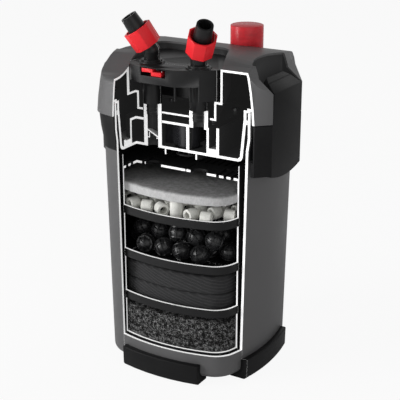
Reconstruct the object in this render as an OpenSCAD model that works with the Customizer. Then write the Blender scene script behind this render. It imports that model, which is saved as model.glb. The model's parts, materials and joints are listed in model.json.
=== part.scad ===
// Cutaway canister filter: a square water canister with four stacked media baskets,
// a motor head held by two side clamps, and a lift-out valve block with two hose elbows.
// A square-cornered window is cut out of the front right corner so that the inside shows.

/* [Canister] */
// Distance across the flats at the canister's rim
rim_w = 211; // [205:0.5:217]
// Height of the canister's rim above the floor
rim_z = 346; // [335:1:360]
// How far the wall under the collar stands in from the rim
shoulder_in = 2; // [1:0.5:3]
// How far the wall at the base stands in from the rim
base_in = 6.5; // [5:0.5:9]
// Gap between the floor and the underside of the canister
ground_gap = 8; // [6:1:12]
// Wall thickness of the canister
wall = 3; // [2:0.25:3.5]
// Radius of the canister's bottom edge
base_edge_r = 10; // [6:1:14]

/* [Cutaway window] */
// Left side of the window, measured from the centre plane
cut_x = -59.5; // [-64:0.5:-56]
// Back of the window, measured from the centre plane
cut_y = -53.5; // [-54:0.5:-53]
// Bottom of the window in the canister wall
cut_z = 40.5; // [38:0.5:44]

/* [Feet] */
// Length of each foot along its side
foot_length = 111; // [90:1:116]
// Height of the feet above the floor
foot_h = 28; // [22:1:32]
// How far the feet stand out of the canister wall
foot_out = 7; // [4:0.5:9]
// Radius of the rubber pads under the feet
pad_r = 5; // [3:0.5:6]
// How far the rubber pads stand out below the feet
pad_out = 1.2; // [0.8:0.1:2]

/* [Collar and clamps] */
// Height of the collar
collar_h = 43; // [38:1:46]
// Length of the canister rim above the collar
rim_above = 15; // [14:1:18]
// How far the collar stands out of the rim
collar_out = 3; // [2.5:0.5:4]
// How far a closed clamp stands out of the collar
clamp_out = 12; // [10:0.5:13]
// Half length of the flat outer face of a clamp
clamp_flat = 38.5; // [34:0.5:42]
// Half length of the narrow upper part of a clamp
clamp_neck = 37; // [32:0.5:38]
// Height of a clamp's outer top edge above the rim
clamp_rise = 22; // [18:0.5:24]
// Slope of a clamp's top face
clamp_slope = 0.82; // [0.6:0.02:0.9]
// Radius of the clamp hinge pins
pin_r = 2.2; // [1.8:0.1:2.4]

/* [Baskets] */
// Gap between the baskets and the canister wall
basket_gap = 2.7; // [2:0.1:4]
// Underside of the lowest basket
basket_low_z = 31.8; // [28:0.2:34]
// Free height between the top basket's media room and the motor tray
basket_headroom = 23.4; // [22:0.2:26]
// Wall thickness of the baskets
basket_wall = 2.4; // [1.6:0.2:3]
// Height of the uncut front band of a basket
band_h = 10.6; // [8:0.2:14]
// Width of a bar in a basket floor
bar_w = 4; // [3:0.5:6]
// Width of a slot in a basket floor
slot_w = 4; // [3:0.5:6]

/* [Media] */
// Diameter of a ceramic ring
ring_d = 16; // [12:0.5:17]
// Length of a ceramic ring
ring_length = 13; // [10:0.5:13]
// Diameter of a plastic ball
ball_d = 25; // [20:0.5:26]
// Thickness of the floss pad
floss_h = 13; // [8:0.5:18]
// Share of a basket's height that a fine sponge fills
fine_share = 0.416; // [0.3:0.01:0.46]
// Share of a basket's height that the lower coarse sponge fills
coarse_low_share = 0.364; // [0.2:0.01:0.4]
// Share of a basket's height that the upper coarse sponge fills
coarse_high_share = 0.468; // [0.3:0.01:0.5]

/* [Motor head] */
// How far the lid's lower edge stands out of the collar
lid_out = 2.1; // [1.5:0.1:3]
// Height of the lid's highest stretch above the rim
lid_rise = 55.5; // [52:0.5:58]
// Wall thickness of the lid
lid_wall = 2.6; // [2:0.2:3]
// Depth of the motor tray in the canister
tray_depth = 60; // [58:0.5:62]
// Wall thickness of the motor tray
tray_wall = 3.2; // [2.4:0.2:3.6]
// Height of the motor housing above the tray floor
housing_h = 32; // [28:0.5:33]
// Diameter of the pump chamber under the tray
pump_d = 60; // [54:1:64]
// Diameter of the impeller
impeller_d = 32; // [28:1:33]

/* [Pipes and hoses] */
// Distance between the two pipe axes
pipe_pitch = 65; // [62:0.5:68]
// Bore of the pipes in the tray
pipe_bore = 15.2; // [14:0.2:16]
// Outer diameter of the pipes in the tray
pipe_od = 25.6; // [23:0.2:26]
// Depth of the valve block's top face below the top of the lid
block_drop = 9.5; // [8:0.5:12]
// Bore of the hose barbs
barb_bore = 15.6; // [14:0.2:16]
// Outer diameter of a hose barb at its tip
barb_tip_d = 20; // [18.4:0.2:21]
// Outer diameter of a hose barb at its root
barb_root_d = 23.6; // [22:0.2:24]
// Distance across the flats of a hose nut
nut_w = 33; // [32:0.5:35]
// Length of a hose nut
nut_h = 25; // [22:0.5:28]
// Tilt of the hose barbs from upright
barb_tilt = 33; // [25:1:40]
// Diameter of the priming knob
knob_d = 42; // [36:0.5:46]
// Height of the priming knob's top above the top of the lid
knob_rise = 19; // [15:0.5:22]

/* [Hidden] */

$fn = 48;
eps = 0.01;
far = 600;
// Small gap left between pieces that slide or turn past each other
run_gap = 0.05;
// Gap between separate bodies that never touch
free_gap = 0.4;

// The plan outline is a square with bulging sides and round corners.
bulge_ratio = 2.32;
corner_ratio = 0.33;
side_steps = 8;
corner_steps = 7;

pipe_y = cut_y;
left_x = -pipe_pitch / 2 - 2.5;
right_x = pipe_pitch / 2 - 2.5;

rim_half = rim_w / 2;
shoulder_half = rim_half - shoulder_in;
base_half = rim_half - base_in;
collar_half = rim_half + collar_out;
clamp_half = collar_half + clamp_out;
basket_half = base_half - wall - basket_gap;
lid_half = collar_half + lid_out;
foot_half = base_half + foot_out + 0.5;

// The origin lies in the middle of the whole part, a little in front of the canister's axis,
// because the window takes away the lid's front.
middle_y = (lid_half - foot_half) / 2;
module placed() {
    translate([0, -middle_y, 0]) children();
}

collar_top_z = rim_z - rim_above;
collar_low_z = collar_top_z - collar_h;
shoulder_z = collar_low_z + 12;
flare_z = collar_low_z + 26;

// Motor tray
tray_top_half = rim_half - wall - 2;
tray_low_half = tray_top_half - 4;
tray_z = rim_z - tray_depth;
tray_floor_z = tray_z + tray_wall;
tray_rim_z = rim_z + tray_wall;
pump_x = 4.85;
pump_y = -34;
cover_h = 7;

basket_pitch = (tray_z - basket_headroom - basket_low_z) / 4;

// Lid
lid_top_z = rim_z + lid_rise;
lid_low_z = collar_top_z + 1;
skirt_z = rim_z + 26;
pocket_floor_z = tray_rim_z + 3.4;
pocket_half = clamp_neck + 0.6;
catch_x = lid_half - 12.6;
catch_in_x = lid_half - 8.1;
catch_out_x = collar_half + 0.3;
scoop_x = lid_half - 28.6;
scoop_r = 72;
well_gap = 1.3;
well_step_z = rim_z + 8;
well_inset = 7;
block_top_z = lid_top_z - block_drop;

// Clamps
clamp_top_z = rim_z + clamp_rise;
clamp_reach = clamp_half + clamp_flat;
hinge_x = shoulder_half + 5.8;
hinge_z = collar_low_z - 20.6;
ear_r = 4.4;
ear_in = 14;
ear_out = 20;

knob_x = 22;
knob_y = lid_half - 30.6;
knob_top_z = lid_top_z + knob_rise;
knob_travel = 12;
knob_seat_z = lid_top_z - 27.5;

gland_x = -40;
gland_z = rim_z + 17;

function turned(p, a) = [p[0] * cos(a) - p[1] * sin(a), p[0] * sin(a) + p[1] * cos(a)];
function arc(cx, cy, r, from, to, steps) =
    [for (k = [0:steps]) let (a = from + (to - from) * k / steps) [cx + r * cos(a), cy + r * sin(a)]];

// Points of the plan outline whose sides are half away from the centre
function outline(half) =
    let (
        big = half * bulge_ratio,
        small = half * corner_ratio,
        d = big - half,
        gap = big - small,
        s = (sqrt(2 * gap * gap - d * d) - d) / 2,
        turn = atan2(s, s + d)
    )
    [for (q = [0:3]) each concat(
        [for (k = [0:side_steps - 1]) let (a = turn * (2 * k / side_steps - 1))
            turned([half - big + big * cos(a), big * sin(a)], 90 * q)],
        [for (k = [0:corner_steps - 1]) let (a = turn + (90 - 2 * turn) * k / corner_steps)
            turned([s + small * cos(a), s + small * sin(a)], 90 * q)]
    )];

// Closed solid through a stack of [height, half width] levels
module loft(levels) {
    count = len(outline(10));
    top = count * (len(levels) - 1);
    polyhedron(
        points = [for (lv = levels) for (p = outline(lv[1])) [p[0], p[1], lv[0]]],
        faces = concat(
            [[for (k = [0:count - 1]) k]],
            [for (j = [0:len(levels) - 2]) for (k = [0:count - 1])
                [j * count + k, (j + 1) * count + k, (j + 1) * count + (k + 1) % count,
                 j * count + (k + 1) % count]],
            [[for (k = [0:count - 1]) top + count - 1 - k]]
        )
    );
}

module prism(half, low, high) {
    translate([0, 0, low]) linear_extrude(height = high - low) polygon(outline(half));
}

module window(low) {
    translate([cut_x, cut_y - far, low]) cube([far, far, 2 * far]);
}

module along_x(from, to) {
    translate([from, 0, 0]) rotate([90, 0, 90]) linear_extrude(height = to - from) children();
}

// Outer and inner faces of the canister wall, set in by a given amount
module canister_solid(inset) {
    edge = base_edge_r - inset;
    floor_z = ground_gap + inset;
    loft(concat(
        [for (k = [0:3]) let (a = 90 * k / 4)
            [floor_z + edge * (1 - cos(a)), base_half - inset - edge * (1 - sin(a))]],
        [
            [floor_z + edge, base_half - inset],
            [shoulder_z, shoulder_half - inset],
            [flare_z, rim_half - inset],
            [rim_z + (inset > 0 ? 1 : 0), rim_half - inset]
        ]
    ));
}

// Half width of the canister wall's drafted stretch at a height
function wall_half(z) =
    let (low = ground_gap + base_edge_r)
    base_half + (shoulder_half - base_half) * (z - low) / (shoulder_z - low);

module container() {
    placed() color([0.38, 0.38, 0.39]) difference() {
        union() {
            difference() {
                canister_solid(0);
                canister_solid(wall);
            }
            // posts that carry the lowest basket
            for (a = [0:90:270]) rotate(a) translate([base_half - 17, 0, ground_gap + wall - 1])
                cylinder(r = 5, h = basket_low_z - free_gap - ground_gap - wall + 1);
        }
        window(cut_z);
    }
}

// Lower end of the canister, for the feet to fit against
module canister_base() {
    loft(concat(
        [for (k = [0:3]) let (a = 90 * k / 4)
            [ground_gap + base_edge_r * (1 - cos(a)), base_half - base_edge_r * (1 - sin(a))]],
        [[ground_gap + base_edge_r, base_half], [foot_h + 5, wall_half(foot_h + 5)]]
    ));
}

module foot(angle) {
    placed() color([0.15, 0.15, 0.15]) difference() {
        intersection() {
            loft([[pad_out, base_half + foot_out - 2], [pad_out + 3, base_half + foot_out],
                  [foot_h, foot_half]]);
            rotate(angle) translate([-foot_length / 2, -far, 0]) cube([foot_length, far - base_half + 22, foot_h]);
        }
        canister_base();
    }
}

module foot_front() { foot(0); }
module foot_right() { foot(90); }
module foot_back() { foot(180); }
module foot_left() { foot(270); }

module foot_pads() {
    placed() color([0.1, 0.1, 0.1])
        for (a = [0:90:270]) rotate(a) for (x = [-foot_length * 0.36, foot_length * 0.02, foot_length * 0.36])
            translate([x, -base_half + 12, 0]) cylinder(r = pad_r, h = pad_out);
}

module collar() {
    placed() color([0.15, 0.15, 0.15]) difference() {
        loft([[collar_low_z, shoulder_half + 0.6], [collar_low_z + 2.5, shoulder_half + 1.6],
              [collar_low_z + 12, collar_half - 3.4], [collar_top_z - 18, collar_half - 1.4],
              [collar_top_z, collar_half]]);
        loft([[collar_low_z - 2, wall_half(collar_low_z - 2)], [shoulder_z, shoulder_half],
              [flare_z, rim_half], [collar_top_z + 1, rim_half]]);
        window(0);
    }
}

// Clamp hinge lugs stand on the canister wall, just outside the clamp's ears.
module hinge_eye(r, from, to) {
    for (side = [-1, 1]) translate([hinge_x, side > 0 ? from : -to, hinge_z])
        rotate([-90, 0, 0]) cylinder(r = r, h = to - from);
}

module hinge_lugs() {
    placed() color([0.15, 0.15, 0.15]) for (m = [0, 1]) mirror([m, 0, 0]) difference() {
        union() {
            hinge_eye(ear_r, ear_out + free_gap, ear_out + 5);
            for (side = [-1, 1]) translate([shoulder_half - 8, side > 0 ? ear_out + free_gap : -ear_out - 5,
                                            hinge_z - ear_r])
                cube([hinge_x - shoulder_half + 8, 5 - free_gap, 2 * ear_r]);
        }
        loft([[hinge_z - 12, wall_half(hinge_z - 12)], [hinge_z + 12, wall_half(hinge_z + 12)]]);
        hinge_eye(pin_r, 0, ear_out + 6);
    }
}

module clamp_pins() {
    placed() color([0.6, 0.6, 0.62]) for (m = [0, 1]) mirror([m, 0, 0])
        translate([hinge_x, -ear_out - 5, hinge_z]) rotate([-90, 0, 0]) cylinder(r = pin_r, h = 2 * ear_out + 10);
}

// Plan of the right clamp's room: a flat outer face between two slanting ends
function clamp_plan(inner, ends, inset) =
    let (out = clamp_half - inset, reach = clamp_reach - 1.4142 * inset)
    [[inner, -ends], [reach - ends, -ends], [out, out - reach], [out, reach - out],
     [reach - ends, ends], [inner, ends]];

// Side view of the clamp: a smiling lower edge, wide wings and a narrow arch-topped neck
function clamp_side() =
    let (wing = clamp_flat + 20, low = collar_low_z - 26.5)
    concat(
        [for (k = [-8:8]) let (y = wing * k / 8) [y, low + 14 * pow(abs(k) / 8, 2)]],
        [[wing, collar_top_z], [clamp_neck, collar_top_z]],
        [for (a = [20:20:160]) [clamp_neck * cos(a), clamp_top_z - 8 + 27 * sin(a)]],
        [[-clamp_neck, collar_top_z], [-wing, collar_top_z]]
    );

// Everything under the clamps' slanting top faces, raised by a given amount
module under_clamp_top(raise) {
    top = clamp_top_z + raise;
    rotate([90, 0, 0]) linear_extrude(height = far, center = true) polygon([
        [0, 0], [clamp_half + 30, 0], [clamp_half + 30, top - 30 * clamp_slope],
        [catch_x - 20, top + (clamp_half - catch_x + 20) * clamp_slope], [0, far]
    ]);
}

module clamp() {
    difference() {
        union() {
            intersection() {
                difference() {
                    translate([0, 0, collar_low_z - 34]) linear_extrude(height = far)
                        polygon(clamp_plan(hinge_x - 12, clamp_flat + 15, 0));
                    prism(clamp_half - 5, collar_low_z - 46, collar_low_z - 2);
                    prism(collar_half + 0.8, collar_low_z - 3, collar_top_z + 0.3);
                    translate([-far, -far, collar_top_z]) cube([far + collar_half + 0.8, 2 * far, far]);
                }
                along_x(0, far) polygon(clamp_side());
                under_clamp_top(0);
            }
            // ears that reach the hinge pin
            for (side = [-1, 1]) translate([hinge_x - 1, side > 0 ? ear_in : -ear_out, hinge_z - ear_r])
                cube([clamp_half - hinge_x - 2, ear_out - ear_in, 2 * ear_r + 8]);
            hinge_eye(ear_r, ear_in, ear_out);
        }
        hinge_eye(pin_r + run_gap, 0, ear_out + 1);
    }
}

module clamp_right() {
    placed() color([0.15, 0.15, 0.15]) clamp();
}

module clamp_left() {
    placed() color([0.15, 0.15, 0.15]) mirror([1, 0, 0]) clamp();
}

function basket_z(k) = basket_low_z + basket_pitch * (k - 1);

module basket_floor_slots(z) {
    step = bar_w + slot_w;
    reach = basket_half - 16;
    count = floor(reach / step);
    for (k = [-count:count]) for (row = [-1, 0, 1])
        translate([k * step - slot_w / 2, row * reach * 0.62 - reach * 0.28, z - 1])
            cube([slot_w, reach * 0.56, basket_wall + 4]);
}

module basket(k) {
    z = basket_z(k);
    top = z + basket_pitch - free_gap + (k == 4 ? 18 : 0);
    placed() color([0.17, 0.17, 0.17]) difference() {
        union() {
            prism(basket_half - 0.6, z, top);
            prism(basket_half, z, z + band_h);
        }
        prism(basket_half - basket_wall, z + basket_wall, far);
        basket_floor_slots(z);
        window(z + band_h);
        if (k == 4) prism(basket_half - basket_wall + 0.9, basket_z(4) + basket_pitch - 1, far);
    }
}

module basket_1() { basket(1); }
module basket_2() { basket(2); }
module basket_3() { basket(3); }
module basket_4() { basket(4); }

module basket_cover() {
    low = basket_z(4) + basket_pitch - 1;
    step = 9;
    placed() color([0.17, 0.17, 0.17]) difference() {
        prism(basket_half - basket_wall + 0.6, low, low + 3);
        for (x = [left_x, right_x]) translate([x, pipe_y, low - 1]) cylinder(d = pipe_od - 2.9, h = 5);
        // slots behind the pipes, beside them, and in the left front corner
        for (k = [-8:8]) for (row = [0, 1]) translate([k * step + 0.4, row * 46 - 20, low - 1]) cube([3.2, 40, 5]);
        for (x = [-49.9, 56.3, 66.5, 76.2]) translate([x - 2.1, -72, low - 1]) cube([4.2, 44, 5]);
        translate([(left_x + right_x) / 2 + 13.8, -70, low - 1]) cube([1.4, 42, 5]);
        for (y = [-74.9, -64.2]) translate([-77, y - 2.7, low - 1]) cube([20, 5.4, 5]);
        window(0);
    }
}

module pad(half, low, high) {
    prism(half, low, high);
}

module coarse_sponge_lower() {
    z = basket_z(1) + basket_wall;
    placed() color([0.12, 0.12, 0.12]) pad(basket_half - basket_wall, z, z + coarse_low_share * basket_pitch);
}

module coarse_sponge_upper() {
    z = basket_z(1) + basket_wall + coarse_low_share * basket_pitch;
    placed() color([0.12, 0.12, 0.12]) pad(basket_half - basket_wall, z, z + coarse_high_share * basket_pitch);
}

module fine_sponge_lower() {
    z = basket_z(2) + basket_wall;
    placed() color([0.22, 0.22, 0.22]) pad(basket_half - basket_wall - 6, z, z + fine_share * basket_pitch);
}

module fine_sponge_upper() {
    z = basket_z(2) + basket_wall + fine_share * basket_pitch;
    placed() color([0.25, 0.25, 0.25]) pad(basket_half - basket_wall - 6, z, z + fine_share * basket_pitch);
}

// Two staggered layers of balls
module bio_balls() {
    z = basket_z(3) + basket_wall + ball_d / 2;
    room = basket_half - basket_wall - ball_d / 2 - 1;
    pitch = ball_d + 1.2;
    drop = sqrt(ball_d * ball_d - pitch * pitch / 2) + 0.3;
    placed() color([0.06, 0.06, 0.06]) for (layer = [0, 1]) for (i = [-3:2]) for (j = [-3:2]) {
        x = (i + 0.5 + layer / 2) * pitch;
        y = (j + 0.5 + layer / 2) * pitch;
        if (abs(x) < room && abs(y) < room && abs(x) + abs(y) < 1.62 * room)
            translate([x, y, z + layer * drop]) sphere(d = ball_d);
    }
}

module ceramic_ring(kind) {
    if (kind == 0) difference() {
        cylinder(d = ring_d, h = ring_length);
        translate([0, 0, -1]) cylinder(d = ring_d * 0.55, h = ring_length + 2);
    }
    if (kind > 0) rotate(kind * 53) translate([0, ring_length / 2, ring_d / 2]) rotate([90, 0, 0]) difference() {
        cylinder(d = ring_d, h = ring_length);
        translate([0, 0, -1]) cylinder(d = ring_d * 0.55, h = ring_length + 2);
    }
}

// One full layer of rings, upright or lying, and upright rings standing on the upright ones
module ceramic_rings() {
    z = basket_z(4) + basket_wall;
    pitch = sqrt(ring_d * ring_d + ring_length * ring_length) + 0.4;
    room = basket_half - basket_wall - pitch / 2;
    placed() color([0.9, 0.9, 0.86]) for (i = [-4:3]) for (j = [-4:3]) {
        x = (i + 0.5) * pitch;
        y = (j + 0.5) * pitch;
        kind = (3 * i + 5 * j + 40) % 4;
        if (abs(x) < room && abs(y) < room && abs(x) + abs(y) < 1.62 * room) {
            translate([x, y, z]) ceramic_ring(kind);
            if (kind == 0) translate([x, y, z + ring_length]) ceramic_ring(0);
        }
    }
}

module floss_pad() {
    z = basket_z(4) + basket_wall + 2 * ring_length;
    placed() color([0.62, 0.62, 0.62]) pad(basket_half - basket_wall, z, z + floss_h);
}

module pipe_tube(x, low, high) {
    translate([x, pipe_y, low]) cylinder(d = pipe_od, h = high - low);
}

module pipe_hole(x, low, high) {
    translate([x, pipe_y, low]) cylinder(d = pipe_bore, h = high - low);
}

pipe_top_z = tray_rim_z - 7.5;

module motor_tray() {
    rise = 5;
    coam = tray_floor_z + housing_h + 1;
    placed() color([0.2, 0.2, 0.2]) difference() {
        union() {
            difference() {
                loft([[tray_z, tray_low_half - rise], [tray_z + rise * 0.3, tray_low_half - rise * 0.35],
                      [tray_z + rise, tray_low_half], [rim_z - 8, tray_top_half],
                      [rim_z - eps, tray_top_half]]);
                loft([[tray_floor_z, tray_low_half - rise - 1], [tray_floor_z + 3, tray_low_half - tray_wall],
                      [rim_z - 8, tray_top_half - tray_wall], [rim_z + 5, tray_top_half - tray_wall]]);
            }
            // rim that sits over the canister's edge
            difference() {
                prism(rim_half, rim_z + free_gap, tray_rim_z);
                prism(tray_top_half - tray_wall, rim_z - 1, tray_rim_z + 1);
            }
            difference() {
                prism(tray_top_half, rim_z - 2, tray_rim_z - eps);
                prism(tray_top_half - tray_wall, rim_z - 3, tray_rim_z + 1);
            }
            pipe_tube(left_x, tray_z, pipe_top_z);
            // coaming round the motor housing
            difference() {
                housing_block(14, tray_floor_z, tray_floor_z + 8);
                housing_block(10.4, tray_z, coam);
            }
            difference() {
                intersection() {
                    housing_block(14, tray_floor_z, coam);
                    translate([0, -far / 2, 0]) cube([far, far, far]);
                }
                housing_block(10.4, tray_z, coam + 1);
            }
        }
        // inlet, with a ledge and a post that carry the flap
        difference() {
            pipe_hole(left_x, tray_z - 1, pipe_top_z + 1);
            translate([left_x, pipe_y, tray_floor_z + 7.6]) difference() {
                cylinder(d = pipe_bore + 2, h = 1.2);
                translate([0, 0, -1]) cylinder(d = pipe_bore - 5.4, h = 4);
            }
            translate([left_x - 5.6, pipe_y - 1, tray_floor_z + 8]) cube([1.2, 12, 6.6]);
        }
        translate([pump_x, pump_y, tray_z - 1]) cylinder(d = impeller_d + 4, h = tray_wall + 2);
        window(0);
    }
}

module tray_seal() {
    placed() color([0.08, 0.08, 0.08]) difference() {
        prism(rim_half - wall - free_gap, rim_z - 14, rim_z - 8.5);
        prism(tray_top_half + 0.02, rim_z - 16, rim_z - 7);
        window(0);
    }
}

// Plan of the motor housing, grown by a given amount
housing_left = -tray_low_half + 21.5;
housing_right = tray_low_half - 52.5;
housing_front = -67;
housing_back = tray_low_half - 50.5;
module housing_block(grow, low, high) {
    near = 8;
    wide = 20;
    translate([0, 0, low]) linear_extrude(height = high - low) polygon(concat(
        arc(housing_right - near, housing_front + near, near + grow, -90, 0, 4),
        arc(housing_right - near, housing_back - near, near + grow, 0, 90, 4),
        arc(housing_left + wide, housing_back - wide, wide + grow, 90, 180, 6),
        arc(housing_left + wide, housing_front + wide, wide + grow, 180, 270, 6)
    ));
}

// Places its children at each housing screw
module at_screws() {
    for (x = [housing_left + 12, housing_right - 12]) for (y = [-20, housing_back - 12])
        translate([x, y, tray_floor_z]) children();
}

module motor_housing() {
    low = tray_floor_z;
    high = low + housing_h;
    placed() color([0.2, 0.2, 0.2]) difference() {
        union() {
            difference() {
                housing_block(0, low, high);
                housing_block(-3, low - 1, high - 3);
            }
            // rib beside the pump, and the screws' bosses
            translate([pump_x + 8, housing_front + 2, low]) cube([4, 18, housing_h - 1]);
            at_screws() cylinder(r = 4, h = housing_h - 1);
            pipe_tube(right_x, high - 2, pipe_top_z);
        }
        translate([left_x, pipe_y, low - 1]) cylinder(d = pipe_od + 2 * free_gap, h = far);
        pipe_hole(right_x, high - 4, pipe_top_z + 1);
        at_screws() translate([0, 0, housing_h - 12]) cylinder(r = 1.7, h = 20);
        window(0);
    }
}

module housing_gasket() {
    placed() color([0.75, 0.75, 0.75]) difference() {
        housing_block(10.3, tray_floor_z, tray_floor_z + 6.5);
        housing_block(0.1, tray_floor_z - 1, tray_floor_z + 8);
        window(0);
    }
}

module housing_cover_plate() {
    z = tray_floor_z + housing_h + 9;
    placed() color([0.2, 0.2, 0.2]) difference() {
        union() {
            translate([left_x + pipe_od / 2 + free_gap, pipe_y - 14, z])
                cube([pipe_pitch - pipe_od - 2 * free_gap, 40, 2.2]);
            for (x = [-12, 12]) translate([(left_x + right_x) / 2 + x, pipe_y + 19, z - 9])
                cylinder(r = 3, h = 10);
        }
        window(0);
    }
}

module stator() {
    z = tray_floor_z;
    placed() color([0.3, 0.3, 0.32]) difference() {
        union() {
            translate([pump_x - 30, pump_y - 6, z]) cube([37, 46, housing_h - 7]);
            translate([pump_x, pump_y, z]) cylinder(r = 14, h = housing_h - 5);
        }
        translate([pump_x, pump_y, z - 1]) cylinder(r = 10.6, h = housing_h - 5.6);
        translate([pump_x + 8 - free_gap, housing_front, z - 1]) cube([4 + 2 * free_gap, 20 + free_gap, 40]);
        window(0);
    }
}

module impeller_shaft() {
    placed() color([0.93, 0.93, 0.9]) translate([pump_x, pump_y, tray_z - cover_h + 2])
        cylinder(r = 1.5, h = cover_h + tray_wall + housing_h - 8.6);
}

module impeller() {
    low = tray_z - 4.5;
    placed() color([0.25, 0.25, 0.27]) translate([pump_x, pump_y, 0]) difference() {
        union() {
            translate([0, 0, tray_floor_z + 2]) cylinder(r = 9.6, h = 20);
            translate([0, 0, low + 4]) cylinder(r = 6, h = tray_floor_z + 3 - low - 4);
            translate([0, 0, low + 4]) cylinder(d = impeller_d, h = 1.6);
            for (k = [0:5]) rotate(60 * k) translate([2.4, -0.8, low]) cube([impeller_d / 2 - 3.4, 1.6, 4.5]);
            translate([0, 0, low]) cylinder(r = 4, h = 5);
        }
        translate([0, 0, low - 1]) cylinder(r = 1.5 + run_gap, h = 60);
    }
}

module impeller_cover() {
    placed() color([0.2, 0.2, 0.2]) difference() {
        translate([pump_x, pump_y, tray_z - cover_h]) union() {
            difference() {
                cylinder(d = pump_d, h = cover_h);
                translate([0, 0, -1]) cylinder(d = pump_d - 3, h = cover_h + 2);
            }
            cylinder(r = 16, h = 2);
            for (k = [0:4]) rotate(45 * k) translate([8, -2, 0]) cube([pump_d / 2 - 8.6, 4, 2]);
        }
        window(0);
    }
}

module inlet_flap() {
    z = tray_floor_z + 13.8;
    placed() color([0.9, 0.9, 0.9]) difference() {
        intersection() {
            translate([left_x, pipe_y, z - 8]) cylinder(d = pipe_bore, h = 16);
            translate([left_x, pipe_y, z]) rotate([0, 26.6, 0]) translate([-20, -20, -0.8]) cube([40, 40, 1.6]);
        }
        window(0);
    }
}

module housing_screws() {
    placed() color([0.7, 0.7, 0.72]) at_screws() translate([0, 0, housing_h]) union() {
        translate([0, 0, -8]) cylinder(r = 1.7, h = 8);
        difference() {
            cylinder(r = 3.5, h = 2.4);
            translate([-4, -0.5, 1.4]) cube([8, 1, 2]);
        }
    }
}

// Side view of the lid's top, as shares of the lid's half width and drops below its top:
// a low front lip, a slope, a crown and a falling back
lid_profile = [
    [-0.859, 24.8], [-0.778, 23.8], [-0.706, 21.4], [-0.633, 17.6], [-0.483, 8.1], [-0.398, 4.4],
    [-0.271, 1.4], [-0.091, 0], [0.152, 0], [0.317, 0.9], [0.452, 2.2], [0.588, 4.7], [0.723, 9.1],
    [0.813, 13.8], [0.904, 20.4], [0.985, 27.5], [1.086, 37]
];

function lid_section(drop) = concat(
    [[-far, 0], [-far, lid_top_z - drop - 25]],
    [for (p = lid_profile) [p[0] * lid_half, lid_top_z - drop - p[1]]],
    [[far, lid_top_z - drop - 37], [far, 0]]
);

// Outer or inner faces of the lid, with the shoulders that flank the clamps
module lid_solid(inset) {
    intersection() {
        union() {
            loft([[lid_low_z - (inset > 0 ? 5 : 0), lid_half - inset], [skirt_z - 22, lid_half - 1.4 - inset],
                  [skirt_z - 2, lid_half - 3.9 - inset], [skirt_z + 15, lid_half - 6.8 - inset],
                  [skirt_z + 24, lid_half - 9.8 - inset], [lid_top_z + 10, lid_half - 16.6 - inset]]);
            // shoulders beside the clamps, of which the right one stops at the window
            difference() {
                for (m = [0, 1]) mirror([m, 0, 0]) intersection() {
                    translate([0, 0, lid_low_z - (inset > 0 ? 5 : 0)]) linear_extrude(height = far)
                        polygon(clamp_plan(collar_half - 20, clamp_flat + 20 - inset, inset));
                    under_clamp_top(-inset);
                }
                translate([0, cut_y + 0.4 + inset - far, 0]) cube([far, far, far]);
            }
        }
        along_x(-far, far) polygon(lid_section(inset));
    }
}

// Room for the clamp, grown by a given amount, and the finger scoop behind it, which is open at the top
module clamp_pocket(grow) {
    half = pocket_half + grow;
    for (m = [0, 1]) mirror([m, 0, 0]) {
        along_x(catch_x - grow, far) polygon([
            [-half, pocket_floor_z - grow], [half, pocket_floor_z - grow], [half, far], [-half, far]
        ]);
        intersection() {
            translate([scoop_x + scoop_r, 0, clamp_top_z + 0.4 - grow]) cylinder(r = scoop_r + grow, h = far);
            translate([0, -half, 0]) cube([catch_x + 2, 2 * half, 2 * far]);
        }
        along_x(collar_half + 0.4 - 0.8 * grow, far)
            polygon([[-half + 0.2, lid_low_z - 30], [half - 0.2, lid_low_z - 30],
                     [half - 0.2, pocket_floor_z + 2], [-half + 0.2, pocket_floor_z + 2]]);
    }
}

// Round ends and corners of the valve block's plan
block_right_r = 28.5;
block_left_r = 26.5;

function block_outline(grow) = concat(
    arc(right_x, pipe_y, block_right_r + grow, -90, 18, 10),
    arc(14, 0, 22 + grow, 18, 90, 6),
    arc(-53, 7, 15 + grow, 90, 190, 6),
    arc(left_x, pipe_y, block_left_r + grow, 190, 270, 8)
);

module block_prism(grow, low, high) {
    translate([0, 0, low]) linear_extrude(height = high - low) polygon(block_outline(grow));
}

// Ledge of the lid that rests on the tray's rim
module lid_ledge() {
    difference() {
        prism(lid_half - 3.6, tray_rim_z, tray_rim_z + 2.5);
        prism(rim_half - 4, tray_rim_z - 1, tray_rim_z + 4);
    }
}

module lid_shell() {
    placed() color([0.3, 0.3, 0.3]) difference() {
        union() {
            difference() {
                lid_solid(0);
                difference() {
                    lid_solid(lid_wall);
                    translate([knob_x, knob_y, knob_seat_z - 4]) cylinder(d = knob_d + 6, h = far);
                }
            }
            lid_ledge();
            translate([knob_x, knob_y, knob_seat_z - 2]) cylinder(d = knob_d + 5.4, h = 16.5);
        }
        clamp_pocket(0);
        block_prism(well_gap, well_step_z, far + 100);
        translate([knob_x, knob_y, knob_seat_z]) cylinder(d = knob_d + 0.6, h = far);
        translate([knob_x, knob_y, knob_seat_z - 5]) cylinder(d = 12, h = far);
        translate([gland_x, lid_half - 15, gland_z]) rotate([-90, 0, 0]) cylinder(r = 4.9, h = 30);
        window(0);
    }
}

// Stepped well that the valve block drops into, set in the lid
module lid_well() {
    placed() color([0.13, 0.13, 0.13]) difference() {
        union() {
            intersection() {
                block_prism(well_gap + lid_wall, well_step_z - lid_wall, far + 100);
                lid_solid(lid_wall);
            }
            block_prism(lid_wall - well_inset, lid_low_z - 1, well_step_z);
        }
        block_prism(well_gap, well_step_z, far + 100);
        block_prism(-well_inset, lid_low_z + 1.5, well_step_z + 1);
        block_prism(pipe_od / 2 + 1.2 - block_left_r, lid_low_z - 2, lid_low_z + 2);
        window(0);
    }
}

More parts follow.
